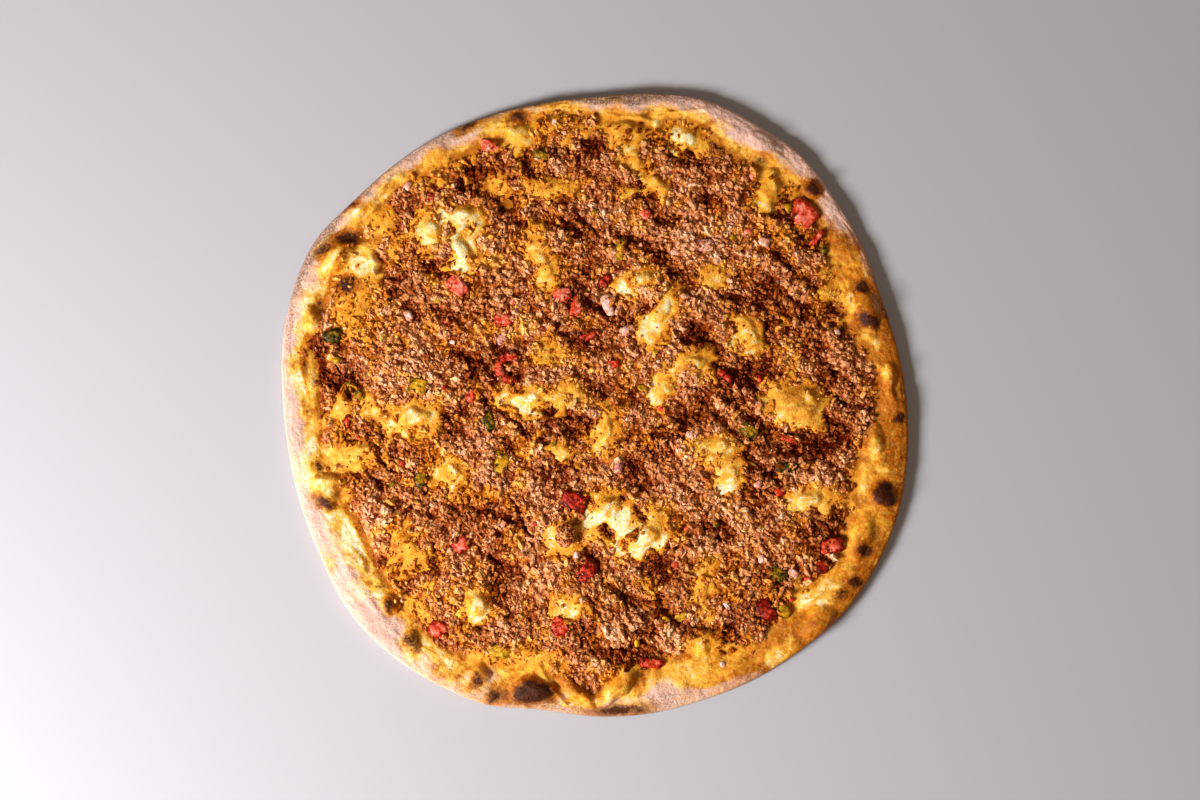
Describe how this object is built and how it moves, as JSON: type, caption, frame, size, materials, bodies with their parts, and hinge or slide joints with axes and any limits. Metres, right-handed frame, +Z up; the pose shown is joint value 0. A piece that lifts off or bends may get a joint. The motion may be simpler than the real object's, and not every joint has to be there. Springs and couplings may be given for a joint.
{
  "type": "sfiha",
  "caption": "Thin round flatbread baked under a crumbly layer of minced meat with diced tomato, green pepper and onion, bare dough bubbles and a scorched rim.",
  "frame": {"origin": "on the table under the middle of the bread, within a third of a millimetre of the middle of its box", "axes": "+Z up through the thickness; seen from above, +X points to the right and +Y to the top of the picture"},
  "size_m": [0.3109, 0.3096, 0.0133],
  "materials": {
    "baked_dough": "oven-baked wheat crust, floury and matt at the rim, golden and slightly oily on the bubbles, with dark scorched blisters",
    "minced_meat": "cooked crumbly mince, brown with a thin film of fat",
    "tomato": "soft cooked dice, wet and a little translucent",
    "green_pepper": "soft cooked dice, wet, dull green",
    "onion": "soft cooked pieces, glossy and translucent"
  },
  "bodies": {
    "root": {"bread": "baked_dough", "meat": "minced_meat", "mince_lump": "minced_meat", "tomato_01": "tomato", "tomato_02": "tomato", "tomato_03": "tomato", "tomato_04": "tomato", "tomato_05": "tomato", "tomato_06": "tomato", "tomato_07": "tomato", "tomato_08": "tomato", "tomato_09": "tomato", "tomato_10": "tomato", "tomato_11": "tomato", "tomato_12": "tomato", "tomato_13": "tomato", "tomato_14": "tomato", "tomato_15": "tomato", "tomato_16": "tomato", "tomato_17": "tomato", "tomato_18": "tomato", "tomato_19": "tomato", "tomato_curl": "tomato", "green_pepper_01": "green_pepper", "green_pepper_02": "green_pepper", "green_pepper_03": "green_pepper", "green_pepper_04": "green_pepper", "green_pepper_05": "green_pepper", "green_pepper_06": "green_pepper", "green_pepper_07": "green_pepper", "green_pepper_08": "green_pepper", "green_pepper_09": "green_pepper", "green_pepper_10": "green_pepper", "green_pepper_11": "green_pepper", "green_pepper_12": "green_pepper", "green_pepper_13": "green_pepper", "onion_01": "onion", "onion_02": "onion", "onion_03": "onion"}
  },
  "joints": []
}
